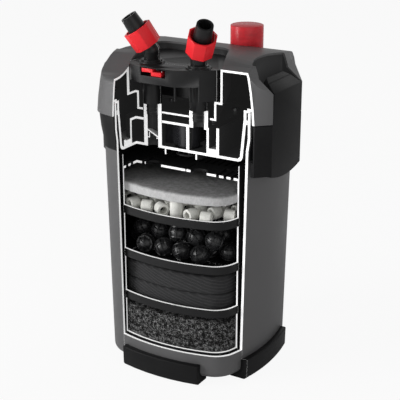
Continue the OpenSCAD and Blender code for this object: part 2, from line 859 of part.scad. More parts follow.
// Liners of the clamp pockets and finger scoops, set in the lid
module lid_scoops() {
    placed() color([0.13, 0.13, 0.13]) difference() {
        intersection() {
            clamp_pocket(lid_wall);
            lid_solid(lid_wall);
        }
        clamp_pocket(0);
        block_prism(well_gap + lid_wall, lid_low_z - 10, far + 100);
        translate([knob_x, knob_y, knob_seat_z - 4]) cylinder(d = knob_d + 6, h = far);
        translate([-far, -far, 0]) cube([2 * far, 2 * far, pocket_floor_z - lid_wall]);
        lid_ledge();
        window(0);
    }
}

module lid_catches() {
    placed() color([0.15, 0.15, 0.15]) for (m = [0, 1]) mirror([m, 0, 0]) intersection() {
        translate([catch_in_x, -clamp_neck, pocket_floor_z])
            cube([catch_out_x - catch_in_x, 2 * clamp_neck, far]);
        along_x(0, far) polygon(clamp_side());
        under_clamp_top(-0.3);
        translate([0, -far / 2, 0]) cube([far, far, clamp_top_z + 14]);
    }
}

module cable_gland() {
    placed() color([0.1, 0.1, 0.1]) difference() {
        translate([gland_x, lid_half - 16, gland_z]) rotate([-90, 0, 0]) union() {
            cylinder(r = 4.9, h = 16);
            cylinder(r = 7, h = 3.5);
            translate([0, 0, 12.4]) cylinder(r = 7, h = 3.6);
        }
        translate([gland_x, lid_half - 20, gland_z]) rotate([-90, 0, 0]) cylinder(r = 3, h = 40);
    }
}

stub_low_z = pipe_top_z - 14;
block_low_z = block_top_z - 20;

module valve_block() {
    placed() color([0.13, 0.13, 0.13]) difference() {
        union() {
            block_prism(0, block_low_z, block_top_z);
            intersection() {
                block_prism(-well_inset - 1.5, pipe_top_z + 4, block_top_z - 19);
                translate([-far, -28, 0]) cube([2 * far, far, far + 200]);
            }
            for (x = [left_x, right_x]) translate([x, pipe_y, 0]) {
                translate([0, 0, pipe_top_z + 0.1]) cylinder(r = 11.5, h = block_top_z - pipe_top_z - 1);
                translate([0, 0, stub_low_z]) cylinder(d = pipe_bore - 1, h = 40);
                translate([0, 0, block_top_z - 1]) cylinder(r = 15.6, h = 2.4);
                translate([0, 0, block_top_z]) cylinder(r = 12.6, h = 3.6);
            }
            // skirt beside the right pipe, and two guide posts
            intersection() {
                block_prism(0, well_step_z + 0.5, block_top_z - 19);
                translate([right_x, pipe_y, 0]) rotate(30) translate([0, -far, 0]) cube([far, 2 * far, far]);
                translate([-far, -26 - far, 0]) cube([2 * far, far, far]);
            }
            for (p = [[11.8, -76.8], [28.2, -69.2]]) translate([p[0], p[1], well_step_z + 0.5])
                cylinder(r = 1.4, h = block_top_z - well_step_z - 19);
        }
        // slanting front faces round the right pipe
        for (a = [-62, -48]) translate([right_x, pipe_y, 0]) rotate(a)
            translate([16.4, -far, block_low_z - 30]) cube([far, 2 * far, far]);
        for (x = [left_x, right_x]) translate([x, pipe_y, 0]) {
            translate([0, 0, block_top_z - 13 - run_gap]) cylinder(r = 9.5 + run_gap, h = 40);
            translate([0, 0, stub_low_z - 1]) cylinder(r = 5, h = 60);
            for (z = [4, 9]) translate([0, 0, stub_low_z + z]) rotate_extrude()
                translate([pipe_bore / 2 - 0.98, 0]) circle(r = 0.96, $fn = 24);
        }
        // slot for the release lever
        translate([lever_x - 24.6, pipe_y - 40, block_top_z - 11]) cube([34.6, 27, 9.5]);
        translate([lever_x, lever_y, block_top_z - 18]) cylinder(r = 1.6, h = 12);
    }
}

module valve_o_rings() {
    placed() color([0.05, 0.05, 0.05]) for (x = [left_x, right_x]) for (z = [4, 9])
        translate([x, pipe_y, stub_low_z + z]) rotate_extrude()
            translate([pipe_bore / 2 - 0.98, 0]) circle(r = 0.93, $fn = 24);
}

lever_x = left_x + 26;
lever_y = pipe_y - 18;

module release_lever() {
    placed() color([0.85, 0.12, 0.15]) difference() {
        union() {
            translate([lever_x - 10.5, lever_y - 8, block_top_z - 10.6]) cube([14, 10, 5]);
            translate([lever_x - 23.4, lever_y - 8, block_top_z - 6.6]) cube([15, 8, 4.4]);
        }
        translate([lever_x, lever_y, block_top_z - 20]) cylinder(r = 1.6 + run_gap, h = 30);
    }
}

module lever_pin() {
    placed() color([0.6, 0.6, 0.62]) translate([lever_x, lever_y, block_top_z - 18]) cylinder(r = 1.6, h = 13);
}

knee_z = block_top_z + 14;
left_turn = 215;
right_turn = -43;

// Places its children on the barb axis, with +Z pointing out of the barb
module on_barb(x, angle) {
    translate([x, pipe_y, knee_z]) rotate([0, 0, angle]) rotate([0, barb_tilt, 0]) children();
}

nut_start = 7;
barb_length = 49;

module elbow(x, angle) {
    placed() color([0.13, 0.13, 0.13]) difference() {
        union() {
            translate([x, pipe_y, block_top_z - 13]) cylinder(r = 9.5, h = knee_z - block_top_z + 13);
            translate([x, pipe_y, knee_z]) sphere(r = 10.2);
            on_barb(x, angle) {
                cylinder(r = 9.45, h = 12);
                translate([0, 0, nut_start + 3 + run_gap]) cylinder(r = 12.4, h = 10 - run_gap);
                translate([0, 0, nut_start + 12]) cylinder(d1 = barb_root_d, d2 = barb_tip_d,
                                                           h = barb_length - nut_start - 12);
            }
        }
        translate([x, pipe_y, block_top_z - 20]) cylinder(r = 6.5, h = knee_z - block_top_z + 21);
        on_barb(x, angle) {
            translate([0, 0, -1]) cylinder(r = 6.2, h = 20);
            translate([0, 0, 12]) cylinder(d = barb_bore, h = 80);
        }
    }
}

module elbow_left() { elbow(left_x, left_turn); }
module elbow_right() { elbow(right_x, right_turn); }

module hose_nut(x, angle) {
    placed() color([0.91, 0.14, 0.17]) on_barb(x, angle) translate([0, 0, nut_start]) difference() {
        cylinder(r1 = nut_w / 2 / cos(22.5) - 0.8, r2 = nut_w / 2 / cos(22.5), h = nut_h, $fn = 8);
        translate([0, 0, 3]) cylinder(r = 12.4 + run_gap, h = nut_h);
        translate([0, 0, -1]) cylinder(r = 9.45 + run_gap, h = nut_h);
        translate([0, 0, nut_h - 12]) cylinder(r = 14.5, h = 20);
    }
}

module hose_nut_left() { hose_nut(left_x, left_turn); }
module hose_nut_right() { hose_nut(right_x, right_turn); }

module priming_knob() {
    placed() color([0.8, 0.16, 0.2, 0.8]) translate([knob_x, knob_y, 0]) difference() {
        translate([0, 0, knob_seat_z + knob_travel + 1]) cylinder(d = knob_d, h = knob_top_z - knob_seat_z - knob_travel - 1);
        translate([0, 0, knob_seat_z]) cylinder(d = knob_d - 4, h = knob_top_z - knob_seat_z - 2);
    }
}

module priming_bellows() {
    low = knob_seat_z;
    high = knob_top_z - 2.2;
    folds = 5;
    placed() color([0.1, 0.1, 0.1]) translate([knob_x, knob_y, low]) rotate_extrude() polygon(concat(
        [[0, high - low], [0, high - low - 1.5], [8, high - low - 1.5]],
        [for (k = [0:2 * folds]) [k % 2 == 0 ? 9 : 13, (high - low - 1.5) * (1 - k / folds / 2)]],
        [for (k = [2 * folds:-1:0]) [(k % 2 == 0 ? 9 : 13) + 1.6, (high - low) * (1 - k / folds / 2)]]
    ));
}

container();
foot_front();
foot_right();
foot_back();
foot_left();
foot_pads();
collar();
hinge_lugs();
clamp_pins();
clamp_left();
clamp_right();
basket_1();
basket_2();
basket_3();
basket_4();
basket_cover();
coarse_sponge_lower();
coarse_sponge_upper();
fine_sponge_lower();
fine_sponge_upper();
bio_balls();
ceramic_rings();
floss_pad();
motor_tray();
tray_seal();
motor_housing();
housing_gasket();
housing_cover_plate();
stator();
impeller();
impeller_shaft();
impeller_cover();
inlet_flap();
housing_screws();
lid_shell();
lid_well();
lid_scoops();
lid_catches();
cable_gland();
valve_block();
valve_o_rings();
release_lever();
lever_pin();
elbow_left();
elbow_right();
hose_nut_left();
hose_nut_right();
priming_knob();
priming_bellows();
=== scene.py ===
"""Looks for the cutaway canister filter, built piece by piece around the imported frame."""

import json
import math

import bmesh
import bpy
from mathutils import Matrix, Vector, noise


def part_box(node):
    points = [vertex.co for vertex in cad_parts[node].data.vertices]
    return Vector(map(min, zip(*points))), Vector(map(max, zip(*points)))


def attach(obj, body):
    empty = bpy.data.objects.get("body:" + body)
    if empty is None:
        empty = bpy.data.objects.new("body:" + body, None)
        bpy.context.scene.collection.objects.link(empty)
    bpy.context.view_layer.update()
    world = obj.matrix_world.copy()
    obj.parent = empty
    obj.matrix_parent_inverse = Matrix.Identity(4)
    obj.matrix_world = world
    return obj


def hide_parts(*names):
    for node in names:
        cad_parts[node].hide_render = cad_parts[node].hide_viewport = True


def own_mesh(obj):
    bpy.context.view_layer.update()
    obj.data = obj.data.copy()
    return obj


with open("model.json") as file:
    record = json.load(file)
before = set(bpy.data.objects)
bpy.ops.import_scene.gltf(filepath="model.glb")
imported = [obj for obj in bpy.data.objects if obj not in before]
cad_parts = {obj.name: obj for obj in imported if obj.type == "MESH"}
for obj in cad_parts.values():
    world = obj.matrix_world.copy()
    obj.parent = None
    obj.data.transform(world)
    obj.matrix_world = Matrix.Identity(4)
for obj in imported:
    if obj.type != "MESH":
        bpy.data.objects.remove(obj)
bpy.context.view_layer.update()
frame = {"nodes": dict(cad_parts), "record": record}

bl_info = {
    "name": "Cutaway canister filter",
    "version": (1, 0, 0),
    "blender": (4, 5, 0),
    "location": "View3D > Sidebar > Filter",
    "description": "Builds the looks of a cutaway aquarium canister filter around its frame",
    "category": "Object",
}

RECORD = frame["record"]
BODY_OF = {node: body for body, nodes in RECORD["behaviour"]["bodies"].items() for node in nodes}
SLOT_OF = {row["node"]: row["material_slot"] for row in RECORD["subparts"]}


def low(node):
    """Lowest corner of a CAD node's box."""
    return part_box(node)[0]


def high(node):
    """Highest corner of a CAD node's box."""
    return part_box(node)[1]


# ---------------------------------------------------------------- fixed shape, in metres

# The canister's axis stands a little behind the origin; its rim reaches as far back as to the side.
AXIS_Y = high("container")[1] - high("container")[0]
AXIS = Matrix.Translation((0, AXIS_Y, 0))

# Radii of the bulged square outline's sides and corners, as shares of its half width.
BULGE, CORNER = 2.32, 0.33

# Half widths of that outline up the canister's wall, the heights of the upper two, and the baskets' half width.
BASE_HALF, SHOULDER_HALF, RIM_HALF = 0.0990, 0.1035, 0.1055
SHOULDER_Z, RIM_Z = 0.300, 0.314
BASKET_HALF = 0.0933

# Posts on the canister's floor: radius, distance from the axis, depth sunk in the floor, gap under the basket.
POST_RADIUS, POST_OUT, POST_SINK, POST_GAP = 0.005, 0.082, 0.0005, 0.0004

# Lower ends of the clamps: how far below the collar's foot they reach, and their height.
SKIRT_DROP, SKIRT_HEIGHT = 0.0190, 0.0175

# Balls: gap between two in a layer, extra height between layers, gap to the basket, and how far into its corners.
BALL_GAP, LAYER_GAP, BALL_MARGIN, BALL_REACH = 0.0012, 0.0003, 0.001, 1.62

# Points nearer than this are merged, after a CAD mesh or a ring, and after a Boolean.
MERGE, MERGE_CUT = 0.00001, 0.000005


# ---------------------------------------------------------------- sizes and colours

def length(name, description, default):
    """A length that the user may change."""
    return bpy.props.FloatProperty(name=name, description=description, default=default, unit="LENGTH",
                                   subtype="DISTANCE", precision=5)


def colour(name, description, default):
    """A colour that the user may change."""
    return bpy.props.FloatVectorProperty(name=name, description=description, default=default, size=3,
                                         min=0, max=1, subtype="COLOR")


class FilterSizes(bpy.types.PropertyGroup):
    cut_x: length("Window side", "Plane of the cut on the window's left side", -0.0595)
    cut_y: length("Window back", "Plane of the cut at the window's back", -0.0535 + AXIS_Y)
    cut_z: length("Window sill", "Height of the cut in the canister wall", 0.0405)
    wall: length("Wall", "Thickness of the canister wall", 0.003)
    edge: length("Bottom edge", "Radius of the canister's bottom edge", 0.010)
    ground: length("Ground gap", "Gap under the canister", 0.008)
    basket_low: length("Lowest basket", "Underside of the lowest basket", low("basket_1")[2])
    pitch: length("Basket pitch", "Height from one basket to the next", low("basket_2")[2] - low("basket_1")[2])
    band: length("Basket band", "Height of the uncut front band of a basket", 0.0106)
    basket_wall: length("Basket wall", "Thickness of the basket walls", 0.0024)
    ball: length("Ball", "Diameter of a plastic ball", 0.025)
    rib: length("Ball rib", "Thickness of the ribs on a ball", 0.0014)


class FilterColours(bpy.types.PropertyGroup):
    canister: colour("Canister", "Grey of the canister wall", (0.108, 0.107, 0.109))
    lid: colour("Lid", "Grey of the lid", (0.114, 0.113, 0.115))
    black: colour("Black plastic", "Collar, feet, clamps, elbows and valve block", (0.012, 0.012, 0.0125))
    inner: colour("Inner plastic", "Baskets and motor head", (0.014, 0.014, 0.0145))
    red: colour("Red plastic", "Hose nuts and release lever", (0.930, 0.028, 0.038))
    knob: colour("Knob", "Tinted clear plastic of the priming knob", (0.880, 0.050, 0.065))
    cut: colour("Cut faces", "Paint on the cut faces", (0.95, 0.95, 0.95))


def sizes():
    return bpy.context.scene.filter_sizes


def colours():
    return bpy.context.scene.filter_colours


# ---------------------------------------------------------------- node trees

class Term:
    """A socket in a node tree; sums, products and comparisons of it add Math nodes."""

    def __init__(self, recipe, socket):
        self.recipe, self.socket = recipe, socket

    def math(self, operation, *others, swap=False):
        values = [self, *others]
        if swap:
            values.reverse()
        return self.recipe.node("ShaderNodeMath", {"operation": operation}, dict(enumerate(values)))

    def __add__(self, other): return self.math("ADD", other)
    __radd__ = __add__
    def __mul__(self, other): return self.math("MULTIPLY", other)
    __rmul__ = __mul__
    def __sub__(self, other): return self.math("SUBTRACT", other)
    def __rsub__(self, other): return self.math("SUBTRACT", other, swap=True)
    def __pow__(self, other): return self.math("POWER", other)
    def __lt__(self, other): return self.math("LESS_THAN", other)
    def __gt__(self, other): return self.math("GREATER_THAN", other)
    def __abs__(self): return self.math("ABSOLUTE")
    def near(self, value, reach): return abs(self - value) < reach
    def either(self, other): return self.math("MAXIMUM", other)
    def sine(self): return self.math("SINE")

    def ramp(self, start, end):
        """0 at start, 1 at end, straight between."""
        return self.recipe.node("ShaderNodeMapRange", {"clamp": True},
                                {"Value": self, "From Min": start, "From Max": end})

    def out(self, name):
        """Another output of the same node."""
        return Term(self.recipe, self.socket.node.outputs[name])


class Recipe:
    """The emptied node tree of a material or a world, and the few ways that its nodes are made."""

    def __init__(self, owner):
        owner.use_nodes = True
        self.owner, self.tree = owner, owner.node_tree
        self.tree.nodes.clear()

    def node(self, kind, settings=None, inputs=None, out=0):
        """Any node: its settings first, then the values and links of its sockets."""
        made = self.tree.nodes.new(kind)
        for key, value in (settings or {}).items():
            setattr(made, key, value)
        for key, value in (inputs or {}).items():
            socket = made.inputs[key]
            if isinstance(value, Term):
                self.tree.links.new(value.socket, socket)
            elif socket.type == "RGBA":
                socket.default_value = (*value[:3], 1)
            else:
                socket.default_value = value
        return Term(self, made.outputs[out]) if made.outputs else None

    def place(self):
        return self.node("ShaderNodeTexCoord", out="Object")

    def axes(self, place):
        """A place's X, Y and Z."""
        x = self.node("ShaderNodeSeparateXYZ", None, {0: place})
        return x, x.out("Y"), x.out("Z")

    def noise(self, place, scale, detail=2, rough=0.5, stretch=None):
        if stretch:
            place = self.node("ShaderNodeMapping", None, {"Vector": place, "Scale": stretch})
        return self.node("ShaderNodeTexNoise", None,
                         {"Vector": place, "Scale": scale, "Detail": detail, "Roughness": rough})

    def cells(self, place, scale, feature="F1"):
        return self.node("ShaderNodeTexVoronoi", {"feature": feature}, {"Vector": place, "Scale": scale})

    def mix(self, factor, a, b):
        """A colour between a and b; a Mix node's colours are its sockets 6, 7 and 2 out."""
        return self.node("ShaderNodeMix", {"data_type": "RGBA"}, {0: factor, 6: a, 7: b}, out=2)

    def bump(self, height, distance, strength=1.0, edge=0.0):
        """A normal from a height, over edges that look rounded by the edge radius."""
        inputs = {"Height": height, "Distance": distance, "Strength": strength}
        if edge:
            inputs["Normal"] = self.node("ShaderNodeBevel", {"samples": 4}, {"Radius": edge})
        return self.node("ShaderNodeBump", None, inputs)

    def cut_mask(self, levels):
        """1 on faces in the window's cut planes and in its flat cuts at these heights, 0 elsewhere."""
        s, reach = sizes(), 0.00006
        x, y, z = self.axes(self.place())
        side = x.near(s.cut_x, reach) * (y < s.cut_y + reach)
        back = y.near(s.cut_y, reach) * (x > s.cut_x - reach)
        mask = side.either(back)
        for level in levels:
            mask = mask.either(z.near(level, reach) * (x > s.cut_x - reach) * (y < s.cut_y + reach))
        return mask

    def finish(self, **inputs):
        """The material itself, once its shader has these inputs."""
        shader = self.node("ShaderNodeBsdfPrincipled", None,
                           {key.replace("_", " "): value for key, value in inputs.items()})
        self.node("ShaderNodeOutputMaterial", None, {"Surface": shader})
        return self.owner


def material(name):
    """A recipe for the material of this name, which is made anew if there is one."""
    return Recipe(bpy.data.materials.get(name) or bpy.data.materials.new(name))


def shade(tint, amount):
    """A lighter or darker tint."""
    return tuple(min(1, c * amount) for c in tint[:3])


# ---------------------------------------------------------------- finishes

# Paint on the cut faces: its roughness, and the strength of its painted glow, which keeps it white where little light
# comes and also scales the faint painted fill glow of other faces.
PAINT_ROUGH, PAINT_GLOW = 0.75, 0.42


def moulded(name, tint, rough=0.40, grain=1200, depth=0.00003, edge=0.0004, spread=0.12, specular=0.5,
            painted=True, levels=(), lift=0.0):
    """Satin moulded plastic with faint flow marks and fine grain; its cut faces are painted white with a painted
    glow, and its other faces can get a faint painted fill glow.
    """
    r = material(name)
    place = r.place()
    flow = r.noise(place, 28, 4, 0.6).ramp(0.3, 0.7)
    fine = r.noise(place, grain, 2)
    tone = r.mix(flow, shade(tint, 1 - spread), shade(tint, 1 + spread))
    gloss = flow * 0.08 + fine * 0.06 + (rough - 0.07)
    glow = (0, 0, 0)
    if painted:
        mask = r.cut_mask(levels)
        tone = r.mix(mask, tone, colours().cut)
        gloss = gloss + mask * (PAINT_ROUGH - rough)
        # Painted light: the cut faces glow white, and the other faces glow faintly at the given fill level, though
        # none of them is a lamp.
        glow = r.mix(mask, (lift, lift, lift), (1, 1, 1))
    return r.finish(Base_Color=tone, Roughness=gloss, Normal=r.bump(fine, depth, 0.6, edge),
                    Emission_Color=glow, Emission_Strength=PAINT_GLOW if painted else 0.0,
                    Specular_IOR_Level=specular)


def coarse_foam(name, pore_shade, strut, scale):
    """Open-cell foam: a net of lighter struts; its pores, and the struts outside scattered patches, are painted near
    black as painted shade.
    """
    r = material(name)
    place = r.place()
    drift = r.noise(place, scale * 0.8, 2).out("Color")
    warp = r.node("ShaderNodeVectorMath", {"operation": "MULTIPLY_ADD"}, {0: drift, 1: (0.0012,) * 3, 2: place})
    net = 1 - r.cells(warp, scale, "DISTANCE_TO_EDGE").ramp(0.03, 0.16)
    patch = r.noise(place, scale * 0.55, 3, 0.7).ramp(0.42, 0.66)
    # Painted shade: the pores, and the struts wherever patch is low, take the near-black pore colour.
    level = net * patch
    return r.finish(Base_Color=r.mix(level, pore_shade, strut), Roughness=0.9 - 0.15 * level,
                    Normal=r.bump(net, 0.0009, 1.0), Specular_IOR_Level=0.25)


def fine_foam(name, tint, wave):
    """Fine sponge with wire-cut waves that run slanting over its faces; the crests are painted lighter and the pore
    hollows darker, a painted highlight and painted shade.
    """
    r = material(name)
    place = r.place()
    pores = r.cells(place, 1500).ramp(0.1, 0.6)
    x, y, z = r.axes(place)
    swirl = r.noise(place, 26, 2, 0.5)
    ridge = (((z + x * 0.32 - y * 0.2) * wave + swirl * 7).sine() * 0.5 + 0.5) ** 3
    # Colour follows the relief: crests painted lighter as a painted highlight, pore hollows darker as painted shade.
    level = ridge * 0.55 + pores * 0.45
    return r.finish(Base_Color=r.mix(level, shade(tint, 0.62), shade(tint, 1.6)), Roughness=0.9 - 0.1 * level,
                    Normal=r.bump(ridge + pores * 0.5, 0.0005, 0.8), Specular_IOR_Level=0.25)


def metal(name, tint, rough):
    """Turned metal with fine marks along its axis and a faint smear."""
    r = material(name)
    place = r.place()
    turned = r.noise(place, 700, 3, 0.6, stretch=(1, 1, 8))
    smear = r.noise(place, 90, 3, 0.6)
    return r.finish(Base_Color=r.mix(smear, shade(tint, 0.85), shade(tint, 1.08)), Metallic=1.0,
                    Roughness=turned * 0.14 + (rough - 0.05), Normal=r.bump(turned, 0.00002, 0.5, 0.0003))


def ceramic(name, tint):
    """Fired clay with fine pits and faint stains; the pits are painted darker, a painted shade."""
    r = material(name)
    place = r.place()
    pits = r.cells(place, 900).ramp(0.05, 0.35)
    grain = r.noise(place, 1500, 3, 0.7)
    stain = r.noise(place, 60, 3, 0.6).ramp(0.35, 0.7)
    tone = r.mix(stain, shade(tint, 0.86), shade(tint, 1.08))
    # The pits are painted darker: painted shade in them.
    tone = r.mix(pits, shade(tint, 0.62), tone)
    return r.finish(Base_Color=tone, Roughness=0.86 + 0.1 * grain,
                    Normal=r.bump(pits + grain * 0.6, 0.0002, 0.8, 0.0004), Specular_IOR_Level=0.3)


def felt(name, tint):
    """Polyester floss: fine standing fibres in soft clumps; its top is painted dark and mottled, a painted shade."""
    r = material(name)
    place = r.place()
    fibre = r.noise(place, 1300, 3, 0.8, stretch=(1, 1, 0.16))
    clump = r.noise(place, 210, 4, 0.7)
    level = fibre.ramp(0.3, 0.7) * 0.5 + clump.ramp(0.3, 0.7) * 0.5
    # The top few millimetres are painted near black in mottled clumps: painted shade on the floss's top.
    crest = high("floss_pad")[2]
    top = r.axes(place)[2].ramp(crest - 0.0030, crest - 0.0006)
    tone = r.mix(level, shade(tint, 0.72), shade(tint, 1.15))
    tone = r.mix(top * 0.66, tone, r.mix(clump.ramp(0.35, 0.65), shade(tint, 0.07), shade(tint, 0.26)))
    return r.finish(Base_Color=tone, Roughness=0.95, Normal=r.bump(fibre + clump, 0.0006, 1.0),
                    Specular_IOR_Level=0.15)


def clear_plastic(name, tint):
    """Tinted clear plastic with faint flow marks."""
    r = material(name)
    flow = r.noise(r.place(), 45, 3, 0.6, stretch=(1, 1, 3)).ramp(0.3, 0.7)
    return r.finish(Base_Color=r.mix(flow, shade(tint, 0.86), shade(tint, 1.1)), Roughness=flow * 0.05 + 0.22,
                    Alpha=0.82 + 0.08 * flow, Normal=r.bump(flow, 0.0001, 0.3, 0.0006), Specular_IOR_Level=0.25)


def finishes():
    """What makes each finish, and from which values."""
    s, c = sizes(), colours()
    bands = [s.basket_low + k * s.pitch + s.band for k in range(4)]
    smooth = dict(depth=0.00002, spread=0.05)
    return {
        "canister_grey": (moulded, dict(tint=c.canister, rough=0.42, grain=1400, edge=0.0006, levels=[s.cut_z],
                                        **smooth)),
        "lid_grey": (moulded, dict(tint=c.lid, grain=1400, edge=0.0008, **smooth)),
        "black_plastic": (moulded, dict(tint=c.black, edge=0.0006, specular=0.12)),
        "black_plain": (moulded, dict(tint=c.black, edge=0.0006, specular=0.12, painted=False)),
        "black_gloss": (moulded, dict(tint=c.black, rough=0.32, edge=0.0003, specular=0.3)),
        "inner_plastic": (moulded, dict(tint=c.inner, grain=1100, specular=0.22, levels=bands)),
        # The motor head's plastic is the inner plastic painted 1.6 times lighter, with a faint glow: painted fill
        # light on its dark faces, which lie in shade.
        "head_plastic": (moulded, dict(tint=shade(c.inner, 1.6), grain=1100, specular=0.22, lift=0.022)),
        "red_plastic": (moulded, dict(tint=c.red, rough=0.34, grain=900, edge=0.0006, specular=0.22, **smooth)),
        "flap_plastic": (moulded, dict(tint=(0.80, 0.80, 0.80), grain=900, edge=0.0003, **smooth)),
        "ball_plastic": (moulded, dict(tint=(0.016, 0.016, 0.017), rough=0.34, grain=900, depth=0.00002, edge=0.0,
                                       spread=0.2, painted=False)),
        "black_rubber": (moulded, dict(tint=(0.018, 0.018, 0.018), rough=0.62, grain=800, depth=0.00005,
                                       spread=0.15)),
        "grey_rubber": (moulded, dict(tint=(0.55, 0.55, 0.55), rough=0.7, grain=700, depth=0.00005, spread=0.08)),
        "resin": (moulded, dict(tint=(0.030, 0.030, 0.034), rough=0.24, grain=500, depth=0.00002, edge=0.0003,
                                spread=0.2)),
        "magnet": (moulded, dict(tint=(0.045, 0.045, 0.050), rough=0.45, grain=900, depth=0.00004, edge=0.0003,
                                 spread=0.15)),
        "red_clear": (clear_plastic, dict(tint=c.knob)),
        "steel": (metal, dict(tint=(0.62, 0.62, 0.63), rough=0.28)),
        "ceramic": (ceramic, dict(tint=(0.90, 0.90, 0.85))),
        "coarse_foam": (coarse_foam, dict(pore_shade=(0.005, 0.005, 0.005), strut=(0.50, 0.50, 0.50), scale=480)),
        "fine_foam": (fine_foam, dict(tint=(0.034, 0.034, 0.035), wave=1500)),
        "floss": (felt, dict(tint=(0.62, 0.62, 0.62))),
    }


def finish_of(name):
    """The material of a finish, in the colours that are set now."""
    make, values = finishes()[name]
    return make(name + "_finish", **values)


# ---------------------------------------------------------------- mesh helpers

def new_object(name, bm):
    """A new object in the scene, which uses up a bmesh."""
    mesh = bpy.data.meshes.new(name)
    bm.to_mesh(mesh)
    bm.free()
    made = bpy.data.objects.new(name, mesh)
    bpy.context.scene.collection.objects.link(made)
    return made


def publish(name, bm, node, smooth=32, finish=None):
    """Turns a bmesh into the finished piece that stands for a CAD node and rides on its body."""
    if not bm.faces:
        raise RuntimeError(f"{name} came out empty")
    piece = new_object(name, bm)
    mesh = piece.data
    mesh.materials.append(finish_of(finish or SLOT_OF[node]))
    mesh.polygons.foreach_set("use_smooth", [True] * len(mesh.polygons))
    mesh.set_sharp_from_angle(angle=math.radians(smooth))
    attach(piece, BODY_OF[node])
    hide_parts(node)
    return piece


def merged(node):
    """A bmesh of a CAD node with its doubles merged and its flat faces whole."""
    bm = bmesh.new()
    bm.from_mesh(frame["nodes"][node].data)
    bmesh.ops.remove_doubles(bm, verts=bm.verts, dist=MERGE)
    bmesh.ops.dissolve_limit(bm, angle_limit=math.radians(0.4), verts=bm.verts, edges=bm.edges)
    return bm


def soften(bm, width, angle=35):
    """Rounds the edges of a bmesh that are sharper than an angle."""
    edges = [edge for edge in bm.edges
             if len(edge.link_faces) == 2 and edge.calc_face_angle(0) > math.radians(angle)]
    if edges:
        bmesh.ops.bevel(bm, geom=edges, offset=width, offset_type="OFFSET", segments=2, profile=0.5,
                        affect="EDGES", clamp_overlap=True, material=-1)
    return bm


def dress(node, width=0.0, angle=35, smooth=32, finish=None):
    """Stands a merged copy of a CAD node in its place, with softened edges and its finish."""
    bm = merged(node)
    if width:
        soften(bm, width, angle)
    return publish(node + "_dressed", bm, node, smooth=smooth, finish=finish)


def outline_ring(bm, half, z):
    """Closed ring of edges: a square with bulging sides and round corners."""
    big, small = half * BULGE, half * CORNER
    d, gap = big - half, big - small
    s = (math.sqrt(2 * gap * gap - d * d) - d) / 2
    turn = math.atan2(s, s + d)
    for quarter in range(4):
        face = Matrix.Rotation(quarter * math.pi / 2, 3, "Z")
        for centre, start, sweep, steps in (
            ((half - big, 0, z), (half - big + big * math.cos(turn), -big * math.sin(turn), z), 2 * turn, 26),
            ((s, s, z), (s + small * math.cos(turn), s + small * math.sin(turn), z), math.pi / 2 - 2 * turn, 12),
        ):
            seed = bm.verts.new(face @ Vector(start))
            bmesh.ops.spin(bm, geom=[seed], cent=face @ Vector(centre), axis=(0, 0, 1), dvec=(0, 0, 0),
                           angle=sweep, steps=steps)
    bmesh.ops.remove_doubles(bm, verts=bm.verts, dist=MERGE)
    bmesh.ops.transform(bm, matrix=AXIS, verts=bm.verts)
    return bm.edges[:]


def next_ring(bm, ring, ratio, rise):
    """Extrudes a ring of edges, scales it about the canister's axis and lifts it."""
    made = bmesh.ops.extrude_edge_only(bm, edges=ring)["geom"]
    verts = [g for g in made if isinstance(g, bmesh.types.BMVert)]
    bmesh.ops.scale(bm, vec=(ratio, ratio, 1), space=AXIS.inverted(), verts=verts)
    bmesh.ops.translate(bm, vec=(0, 0, rise), verts=verts)
    return [g for g in made if isinstance(g, bmesh.types.BMEdge) and all(v in verts for v in g.verts)]


def stack(levels):
    """A closed bmesh through [height, half width] levels of the bulged square outline."""
    bm = bmesh.new()
    ring = outline_ring(bm, levels[0][1], levels[0][0])
    first = ring[:]
    for (z0, half0), (z1, half1) in zip(levels, levels[1:]):
        ring = next_ring(bm, ring, half1 / half0, z1 - z0)
    bmesh.ops.edgeloop_fill(bm, edges=first)
    bmesh.ops.edgeloop_fill(bm, edges=ring)
    bmesh.ops.recalc_face_normals(bm, faces=bm.faces)
    return bm


def carve(bm, steps):
    """Cuts or joins a bmesh with others, one after another, and uses all of them up."""
    body = new_object("work", bm)
    tools = []
    for operation, tool in steps:
        tools.append(new_object("tool", tool))
        cut = body.modifiers.new("cut", "BOOLEAN")
        cut.operation, cut.solver, cut.object = operation, "EXACT", tools[-1]
    graph = bpy.context.evaluated_depsgraph_get()
    mesh = bpy.data.meshes.new_from_object(body.evaluated_get(graph))
    made = bmesh.new()
    made.from_mesh(mesh)
    bpy.data.meshes.remove(mesh)
    for helper in [body, *tools]:
        old = helper.data
        bpy.data.objects.remove(helper)
        bpy.data.meshes.remove(old)
    bmesh.ops.remove_doubles(made, verts=made.verts, dist=MERGE_CUT)
    return made


def window(sill):
    """The room that the window takes above a sill; it reaches well past the filter."""
    s = sizes()
    a, b = Vector((s.cut_x, s.cut_y - 0.3, sill)), Vector((s.cut_x + 0.5, s.cut_y, 0.6))
    bm = bmesh.new()
    bmesh.ops.create_cube(bm, size=1)
    bmesh.ops.scale(bm, vec=b - a, verts=bm.verts)
    bmesh.ops.translate(bm, vec=(a + b) / 2, verts=bm.verts)
    return bm


class FilterOperator(bpy.types.Operator):
    bl_options = {"REGISTER", "UNDO"}


# ---------------------------------------------------------------- canister

def wall_levels(inset, top):
    """Levels of the canister's wall from its rounded bottom edge to its top, moved inwards."""
    s, steps = sizes(), 8
    edge, floor = s.edge - inset, s.ground + inset
    turned = [(floor + edge * (1 - math.cos(a)), BASE_HALF - inset - edge * (1 - math.sin(a)))
              for a in (math.pi / 2 * k / steps for k in range(steps + 1))]
    return turned + [(SHOULDER_Z, SHOULDER_HALF - inset), (RIM_Z, RIM_HALF - inset), (top, RIM_HALF - inset)]


